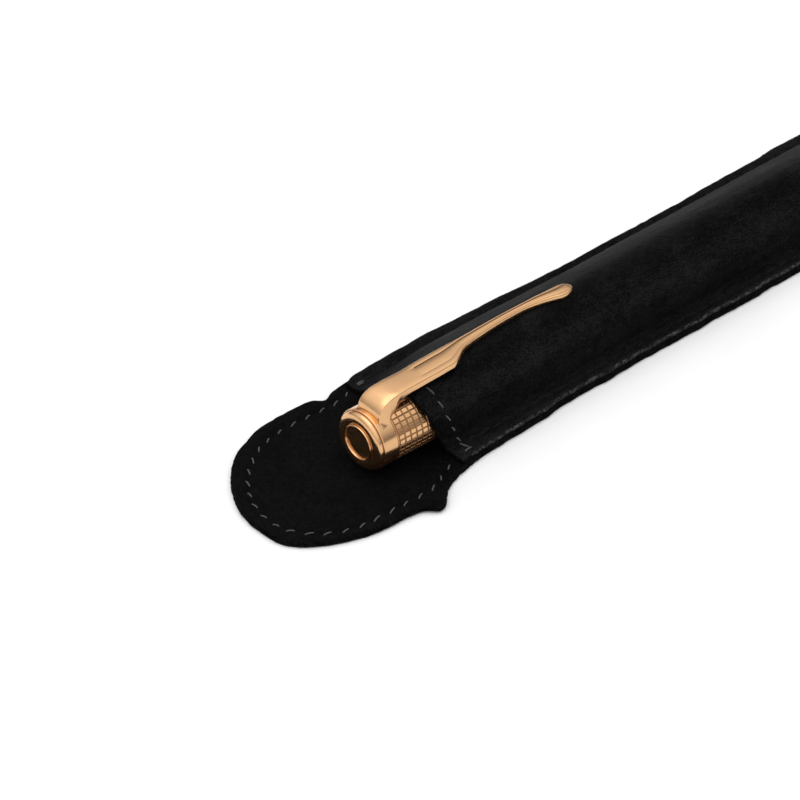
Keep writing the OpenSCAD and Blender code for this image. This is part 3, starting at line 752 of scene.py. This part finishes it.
def lathe(name, prof, mat, seg=144, mats_at=None):
    """Turns the outline round the pen's axis. An outline that starts and ends off the axis is closed on itself."""
    ang = np.linspace(0, 2 * np.pi, seg, endpoint=False)
    verts, rings = [], []
    for x, r in prof:
        if r < 1e-6:
            rings.append([len(verts)])
            verts.append((x, PEN_Y, PEN_Z))
        else:
            rings.append(list(range(len(verts), len(verts) + seg)))
            verts += [(x, PEN_Y + r * math.sin(a), PEN_Z + r * math.cos(a)) for a in ang]
    pairs = list(zip(range(len(rings) - 1), range(1, len(rings))))
    if len(rings[0]) > 1 and len(rings[-1]) > 1:
        pairs.append((len(rings) - 1, 0))
    faces, fm = [], []
    for i, j in pairs:
        A, B = rings[i], rings[j]
        mi = mats_at(prof[i], prof[j]) if mats_at else 0
        for k in range(seg):
            k2 = (k + 1) % seg
            if len(A) == 1 and len(B) == 1:
                break
            if len(A) == 1:
                faces.append((A[0], B[k], B[k2]))
            elif len(B) == 1:
                faces.append((A[k], B[0], A[k2]))
            else:
                faces.append((A[k], B[k], B[k2], A[k2]))
            fm.append(mi)
    return make(name, verts, faces, mat, fm)


C0 = -13.9
BAND = -10.0                              # where the plain band ends and the tube's pattern starts
crown = lathe("crown", profile([(C0 + 0.9, 0), (C0 + 0.9, 3.06, .05), (C0 + 0.14, 3.06, .08), (C0 + 0.0, 3.5, .2), (C0 + 0.06, 4.2, .3), (C0 + 0.28, 4.68, .25), (C0 + 0.55, 4.90, .2),
                                (C0 + 0.90, 4.92, .05), (C0 + 0.94, 4.80, .03), (C0 + 1.0, 4.80, .02), (C0 + 1.0, 1.5, .03), (-6.6, 1.5, .1), (-6.6, 0)]), M_GOLD)
ring_ = lathe("crown_ring", profile([(C0 + 0.5, 2.74, .02), (C0 + 0.88, 2.74, .02), (C0 + 0.88, 3.03, .02), (C0 - 0.02, 3.03, .08), (C0 - 0.18, 2.96, .06), (C0 - 0.18, 2.84, .05), (C0 + 0.0, 2.74, .04)], n=3)[1:], M_GOLD)
disc = lathe("crown_disc", profile([(C0 + 0.88, 0), (C0 + 0.88, 2.66, .03), (C0 + 0.14, 2.66, .08), (C0 + 0.14, 0)]), M_GOLD)
collar = lathe("clip_ring", profile([(-11, 1.55, .03), (C0 + 1.02, 1.55, .03), (C0 + 1.02, 5.06, .04), (C0 + 1.12, 5.17, .08), (BAND - 0.12, 5.17, .06), (BAND - 0.04, 5.08, .04), (BAND - 0.04, 1.55, .03)])[1:], M_GOLD)
cap_rim = lathe("cap_rim", profile([(46.6, 4.86, .03), (46.02, 4.86, .03), (46.02, 5.3, .05), (47.6, 5.3, .15), (48, 5.14, .12), (48, 4.86, .1), (47.0, 4.86, .03)], n=3)[1:], M_GOLD)
CAP_END = 46.0


def cap_tube():
    """The cap's tube, with its pattern of raised squares in rows."""
    NC = 36
    pitch_x = 1.16
    x0 = BAND + 0.14
    cells = 47
    u = np.array([0.0, 0.035, 0.245, 0.28, 0.325, 0.955])
    aa = np.concatenate([(k + u) for k in range(NC)]) * 2 * np.pi / NC
    fa = np.tile([1, 2, 1, 0, 0, 0], NC)               # 0 top, 1 slope, 2 floor, for the strip that starts at each angle
    ux = np.array([0.0, 0.03, 0.215, 0.245, 0.285, 0.96])
    xx = [BAND, BAND + 0.03, BAND + 0.06, BAND + 0.10] + list(x0 + pitch_x * np.concatenate([(k + ux) for k in range(cells)])) + [x0 + pitch_x * cells, 45.6, 45.95, 46.0]
    lx = [1] * 4 + list(np.tile([1, 0, 0, 1, 1, 1], cells)) + [1, 1, 1, 1]
    xx = np.array(xx)
    keep = np.concatenate([[True], np.diff(xx) > 1e-4])
    xx, lx = xx[keep], np.array(lx)[keep]
    la = np.tile([1, 0, 0, 1, 1, 1], NC)               # 1 raised, 0 floor
    R = np.interp(xx, [BAND, 0, 46], [5.15, CAP_R, CAP_R])
    R[0] -= 0.08
    R[1] -= 0.03
    R[-1] -= 0.1
    inside = (xx >= x0 - 1e-6) & (xx <= x0 + pitch_x * cells + 1e-6)
    H = np.where(inside[:, None], -0.11 * (1 - np.minimum(lx[:, None], la[None, :])), 0.0)
    rad = R[:, None] + H
    NA = len(aa)
    outer = np.stack([np.repeat(xx[:, None], NA, 1), PEN_Y + rad * np.sin(aa)[None], PEN_Z + rad * np.cos(aa)[None]], -1)
    inner_x = np.array([46.0, 30.0, 10.0, -6.5, -8.7, BAND])
    inner_r = np.array([4.86, 4.86, 4.86, 4.86, 4.86, 4.86])
    inner = np.stack([np.repeat(inner_x[:, None], NA, 1), PEN_Y + inner_r[:, None] * np.sin(aa)[None], PEN_Z + inner_r[:, None] * np.cos(aa)[None]], -1)
    G = np.concatenate([outer, inner], 0)
    n = len(G)
    g = np.arange(n * NA).reshape(n, NA)
    a, b = g, np.roll(g, -1, 0)
    faces = np.stack([a, np.roll(a, -1, 1), np.roll(b, -1, 1), b], -1)
    fm = np.zeros((n, NA), int)
    m = len(xx)
    low = H < -0.05
    cellf = low | np.roll(low, -1, 1)
    cellf = cellf[:-1] | cellf[1:]
    fm[:m - 1][cellf] = 1
    return make("cap_tube", G.reshape(-1, 3), faces.reshape(-1, 4).tolist(), [M_GOLD, M_GROOVE], fm.ravel())


cap = cap_tube()
nut = lathe("cap_nut", profile([(-9.9, 1.53, .05), (-9.9, 4.84, .1), (-6.6, 4.84, .1), (-6.6, 1.53, .05), (-7.0, 1.53, .03)]), M_STEEL, seg=72)
inner_cap = lathe("inner_cap", profile([(-6.4, 0), (-6.4, 4.82, .1), (32, 4.82, .1), (32, 4.5, .1), (-5.4, 4.5, .3), (-5.4, 0)]), M_BLACK, seg=96)

CLIP_R = 5.17


def clip_mesh():
    """The clip: a saddle that grows out of the ring behind the crown, and a blade that tapers to a rounded tip that rests on the leather."""
    def free(x, m, h, b, e):  # a station of the free blade
        return [x, m, h, b, m + h + 0.08, e - 0.03, h - m + 0.08, e - 0.03, e]
    T = [  # x, middle, half width and height of the top, width and height of the lower far edge, then of the lower near edge, height of the underside
        [-12.14, -0.46, 2.30, 5.34, 2.39, 4.50, 3.45, 3.94, 5.05], [-12.02, -0.46, 2.42, 5.82, 2.59, 4.38, 3.70, 3.66, 5.05], [-11.80, -0.48, 2.45, 6.28, 2.76, 4.27, 3.85, 3.45, 5.05],
        [-11.40, -0.50, 2.46, 6.85, 2.84, 4.21, 3.92, 3.30, 5.05], [-10.80, -0.52, 2.44, 7.32, 2.86, 4.20, 3.75, 3.40, 5.05], [-10.00, -0.55, 2.40, 7.68, 2.82, 4.21, 3.20, 4.00, 5.05],
        [-9.40, -0.57, 2.36, 7.84, 2.74, 4.25, 2.80, 4.42, 5.05], [-8.90, -0.59, 2.33, 7.93, 2.60, 4.38, 2.68, 4.72, 5.10], [-8.50, -0.61, 2.31, 7.98, 2.42, 4.85, 2.66, 5.05, 5.45],
        [-8.00, -0.62, 2.29, 8.03, 2.24, 5.60, 2.66, 5.55, 5.95], [-7.40, -0.63, 2.27, 8.06, 2.06, 6.30, 2.70, 6.02, 6.40], [-6.60, -0.64, 2.24, 8.09, 1.88, 6.75, 2.78, 6.50, 6.78],
        [-5.60, -0.65, 2.20, 8.10, 1.70, 6.98, 2.84, 6.88, 6.98], [-4.00, -0.66, 2.17, 8.10, 1.60, 7.06, 2.91, 7.03, 7.08], free(-1, -0.58, 2.23, 8.10, 7.12), free(2, -0.49, 2.25, 8.08, 7.12),
        free(4.5, -0.34, 2.13, 8.05, 7.10), free(6, 0.08, 1.71, 8.03, 7.09), free(7.6, 0.55, 1.24, 8.00, 7.07), free(10, 0.91, 0.93, 7.96, 7.04), free(13, 1.16, 0.79, 7.90, 7.00), free(17, 1.42, 0.69, 7.81, 6.93),
        free(20, 1.52, 0.65, 7.73, 6.87), free(23, 1.50, 0.68, 7.64, 6.80), free(25.5, 1.34, 0.88, 7.56, 6.72), free(27.5, 1.07, 1.08, 7.50, 6.64), free(29, 0.88, 1.28, 7.44, 6.57),
        free(30.2, 0.88, 1.28, 7.37, 6.54), free(31, 0.90, 1.05, 7.28, 6.57), free(31.5, 0.91, 0.71, 7.16, 6.64), free(31.75, 0.93, 0.40, 7.05, 6.72)]
    T = np.array(T)
    xs = np.unique(np.concatenate([np.linspace(-12.14, -11.4, 9), np.linspace(-11.4, -5, 30), np.linspace(-5, 26, 80), np.linspace(26, 31.75, 30)]))
    val = []
    for k in range(1, 9):  # smooth through the table's points
        d = np.gradient(T[:, k], T[:, 0])
        i = np.clip(np.searchsorted(T[:, 0], xs, "right") - 1, 0, len(T) - 2)
        h = T[i + 1, 0] - T[i, 0]
        t = (xs - T[i, 0]) / h
        val.append((2 * t ** 3 - 3 * t ** 2 + 1) * T[i, k] + (t ** 3 - 2 * t ** 2 + t) * h * d[i] + (-2 * t ** 3 + 3 * t ** 2) * T[i + 1, k] + (t ** 3 - t ** 2) * h * d[i + 1])

    def half(x, a, b, c, d, e, where, deep):
        """Half of a section, from the middle of the top outwards, down the side, and back along the underside."""
        groove = sm((x + 3.0) / 1.5) * sm((31.0 - x) / 1.5)
        lip = min(0.2, a * 0.3)
        gw = min(a * where, a - lip - 0.2)
        pts = []
        for u in (0, gw - 0.16, gw - 0.09, gw, gw + 0.09, gw + 0.16, a - lip):
            pts.append((u, b - 0.10 * (u / a) ** 2 - deep * groove * math.exp(-((u - gw) / 0.08) ** 2)))
        zc = b - 0.10
        for s in (0.3, 0.6, 1.0):  # rounded shoulder
            ang = s * math.pi / 2
            pts.append((a - lip + lip * math.sin(ang), zc - lip + lip * math.cos(ang)))
        p0 = np.array(pts[-1])
        tx = d / math.hypot(c, d)
        hug = sm((6.6 - e) / 1.4)          # 1 where the saddle hugs the ring, 0 along the free blade
        back = (c - (a + 0.08)) / max(tx, 0.3)
        root = np.array([a + 0.08, d + c / math.hypot(c, d) * back])
        root[1] = min(root[1], p0[1] - 0.2)
        ctrl = lerp(np.array([(a + c) / 2 + 0.04, (p0[1] + d) / 2]), root, hug)
        p2 = np.array([c, d])
        for s in np.linspace(0.1, 1, 10):
            pts.append(tuple((1 - s) ** 2 * p0 + 2 * s * (1 - s) * ctrl + s * s * p2))
        edge = min(0.14, c * 0.25)
        for s in (0.35, 0.7, 1.0):
            ang = s * math.pi / 2
            pts.append((c - edge * (1 - math.cos(ang)), d - edge * 0.6 * math.sin(ang)))
        for s in (0.75, 0.5, 0.25, 0.0):
            pts.append(((c - edge) * s, lerp(e, d - edge * 0.6, s * s)))
        return pts

    secs = []
    for x, m, h, b, cf, df, cn, dn, e in zip(xs, *val):
        far, near = half(x, h, b, cf - m, df, e, 0.50, 0.14), half(x, h, b, cn + m, dn, e, 0.5, 0.08)
        secs.append([(x, PEN_Y + m + u, PEN_Z + w) for u, w in far + [(-u, w) for u, w in reversed(near[1:-1])]])
    G = np.array(secs)
    n, m = G.shape[:2]
    g = np.arange(n * m).reshape(n, m)
    faces = np.stack([g[:-1], np.roll(g[:-1], -1, 1), np.roll(g[1:], -1, 1), g[1:]], -1).reshape(-1, 4).tolist()
    fm = np.zeros((n - 1, m), int)
    fm[np.ix_((xs[:-1] > -2.2) & (xs[:-1] < 30.6), [2, 3])] = 1   # the far groove is left matt
    fm = fm.ravel().tolist()
    verts = G.reshape(-1, 3).tolist()
    for end, sgn, off in ((0, 1, -0.05), (n - 1, -1, 0.10)):  # close each end with shrinking rings
        c = G[end].mean(0)
        prev = g[end]
        for s in (0.66, 0.33):
            ring = c + (G[end] - c) * s
            ring[:, 0] += off * (1 - s * s)
            idx = np.arange(len(verts), len(verts) + m)
            verts += ring.tolist()
            q = np.stack([prev, np.roll(prev, -1), np.roll(idx, -1), idx], -1)
            faces += (q if sgn < 0 else q[:, ::-1]).tolist()
            prev = idx
        verts.append((c + np.array([off, 0, 0])).tolist())
        k = len(verts) - 1
        for i in range(m):
            faces.append([int(prev[i]), int(prev[(i + 1) % m]), k])
    return make("clip", verts, faces, [M_GOLD, M_LINE], fm + [0] * (len(faces) - len(fm)))


clip = clip_mesh()

B0 = 48.3
barrel = lathe("barrel", profile([(B0, 4.62, .05), (B0, 5.12, .12), (60, 5.12, .5), (85, 4.9, .5), (108, 4.45, .5), (115, 4.3, .05), (115, 3.62, .05), (58, 3.62, .3), (56.5, 4.62, .1), (50, 4.62, .05)]), M_BLACK)
barrel_end = lathe("barrel_end", profile([(113.5, 0), (113.5, 3.58, .05), (115.02, 3.58, .02), (115.02, 4.3, .08), (117, 4.25, .5), (119.5, 4.0, .6), (121.5, 3.5, .6), (122.6, 2.6, .5), (123, 1.4, .4), (123, 0)]), M_GOLD)
grip = lathe("grip_section", profile([(12.6, 1.36, .08), (12.6, 2.6, .3), (13.4, 3.3, .3), (16, 3.5, .5), (26, 3.8, .6), (38, 4.25, .6), (B0 - 0.02, 4.25, .02), (B0 - 0.02, 4.55, .02), (56.4, 4.55, .1),
                                      (56.4, 3.16, .05), (14.1, 3.16, .05), (14.1, 1.36, .05), (13.4, 1.36, .02)]), M_BLACK, seg=96)
section_ring = lathe("section_ring", profile([(B0 - 1.5, 4.3, .02), (B0 - 2.4, 4.3, .02), (B0 - 2.4, 4.6, .06), (B0 - 2.2, 4.74, .08), (B0 - 0.25, 4.74, .08), (B0 - 0.06, 4.66, .05), (B0 - 0.06, 4.3, .02)]), M_GOLD, seg=120)
refill_tip = lathe("refill_tip", profile([(9.6, 0), (9.6, 0.35, .05), (11.4, 1.15, .1), (12, 1.25, .1), (14.13, 1.25, .05), (14.13, 0)]), M_STEEL, seg=64)
refill = lathe("refill_tube", profile([(14.15, 0), (14.15, 3.05, .2), (106.5, 3.05, .2), (107.6, 2.6, .2), (107.6, 0)]), M_STEEL, seg=72)


def spring():
    turns, n, k, wr, rr, x0, x1 = 4.5, 216, 10, 0.24, 2.3, 107.95, 113.15
    verts, faces = [], []
    for i in range(n + 1):
        t = i / n
        a = 2 * math.pi * turns * t
        rad = np.array([0, math.cos(a), math.sin(a)])
        tan = np.array([(x1 - x0) / (2 * math.pi * turns * rr), -math.sin(a), math.cos(a)])
        tan /= np.linalg.norm(tan)
        bi = np.cross(tan, rad)
        c = np.array([lerp(x0, x1, t), PEN_Y, PEN_Z]) + rad * rr
        for j in range(k):
            b = 2 * math.pi * j / k
            verts.append(c + rad * wr * math.cos(b) + bi * wr * math.sin(b))
    for i in range(n):
        for j in range(k):
            faces.append((i * k + j, i * k + (j + 1) % k, (i + 1) * k + (j + 1) % k, (i + 1) * k + j))
    faces += [list(range(k))[::-1], list(range(n * k, n * k + k))]
    return make("refill_spring", verts, faces, M_STEEL)


coil = spring()

# ------------------------------------------------------------------------------ how each piece moves, and what it stands for
for o in (back, lining, t_mid):
    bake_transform(o)
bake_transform(t_tip)
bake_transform(u_tip)
for o in (front, lin2, s_near, s_far, s_end, s_hem, s_tack, t_root, u_root):
    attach(o, "sleeve")
for o in (cap, cap_rim, crown, ring_, disc, collar, nut, inner_cap):
    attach(o, "pen_cap")
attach(clip, "pen_clip")
for o in (barrel, barrel_end, grip, section_ring, refill, refill_tip, coil):
    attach(o, "pen_barrel")
for o, nodes in ((back, ("back_panel", "tongue_panel")), (lining, ("back_lining", "tongue_lining")), (front, ("front_panel",)), (lin2, ("front_lining",)), (s_near, ("near_seam_thread",)),
                 (s_far, ("far_seam_thread",)), (s_end, ("end_seam_thread",)), (s_hem, ("mouth_thread",)), (s_tack, ("back_tacks",)), (t_root, ("tongue_root_thread",)), (t_tip, ("tongue_thread",)),
                 (cap, ("pen_cap_tube",)), (cap_rim, ("pen_cap_rim",)), (crown, ("pen_crown",)), (ring_, ("pen_crown_ring",)), (disc, ("pen_crown_disc",)), (collar, ("pen_clip_ring",)),
                 (nut, ("pen_cap_nut",)), (inner_cap, ("pen_inner_cap",)), (clip, ("pen_clip",)), (barrel, ("pen_barrel_tube",)), (barrel_end, ("pen_barrel_end",)), (grip, ("pen_grip_section",)),
                 (section_ring, ("pen_section_ring",)), (refill, ("pen_refill_tube",)), (refill_tip, ("pen_refill_tip",)), (coil, ("pen_refill_spring",))):
    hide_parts(*nodes)

def area_of(o):
    """The area of a closed thin sheet's one face, in square metres."""
    return sum(p.area for p in o.data.polygons) / 2


# ------------------------------------------------------------------------------ floor, light and view
floor_mat, nt, b = new_mat("floor_white")
v = coords(nt)
nt.links.new(ramp(nt, tex(nt, v, 60, 2), [(0.3, (0.86, 0.86, 0.86)), (0.7, (0.88, 0.88, 0.88))]), b.inputs["Base Color"])
b.inputs["Roughness"].default_value = 0.9
b.inputs["Specular IOR Level"].default_value = 0.1
floor = make("floor", [(-3000, -3000, 0), (3000, -3000, 0), (3000, 3000, 0), (-3000, 3000, 0)], [(0, 1, 2, 3)], floor_mat, smooth=False)
floor.location.z = -0.00002


def softbox(name, at, look, w, h, power, color=(1, 1, 1)):
    d = bpy.data.lights.new(name, "AREA")
    d.shape = "RECTANGLE"
    d.size, d.size_y, d.energy, d.color = w, h, power, color
    o = bpy.data.objects.new(name, d)
    scene.collection.objects.link(o)
    o.location = at
    o.rotation_euler = (Vector(look) - Vector(at)).to_track_quat("-Z", "Y").to_euler()
    return o


mid = (0.02, 0.0, 0.0)
softbox("key_back", (0.55, 0.65, 0.75), mid, 1.2, 1.2, 0.4)
softbox("top", (0.0, 0.15, 1.1), mid, 1.0, 1.0, 2.2)

world = bpy.data.worlds.new("studio")
scene.world = world
world.use_nodes = True
wt_ = world.node_tree
tc = wt_.nodes.new("ShaderNodeTexCoord")
sep = wt_.nodes.new("ShaderNodeVectorMath")
sep.operation = "DOT_PRODUCT"
sep.inputs[1].default_value = (-0.25, -0.10, 0.963)
wt_.links.new(tc.outputs["Generated"], sep.inputs[0])
wt_.links.new(ramp(wt_, maprange(wt_, sep.outputs["Value"], -1, 1, 0, 1), [(0.40, (0.10, 0.10, 0.10)), (0.55, (0.26, 0.26, 0.26)), (0.70, (0.66, 0.66, 0.67)), (0.80, (0.86, 0.86, 0.87)), (0.90, (1.05, 1.05, 1.05)), (0.98, (1.3, 1.3, 1.3))]), wt_.nodes["Background"].inputs["Color"])
wt_.nodes["Background"].inputs["Strength"].default_value = 1.2

scene.view_settings.view_transform = "Standard"
scene.view_settings.look = "None"
scene.view_settings.exposure = 0.0
scene.view_settings.gamma = 1.0

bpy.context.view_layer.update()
for o in (back, lining, front, lin2):
    print("area", o.name, round(area_of(o) * 1e6, 1), "mm2")
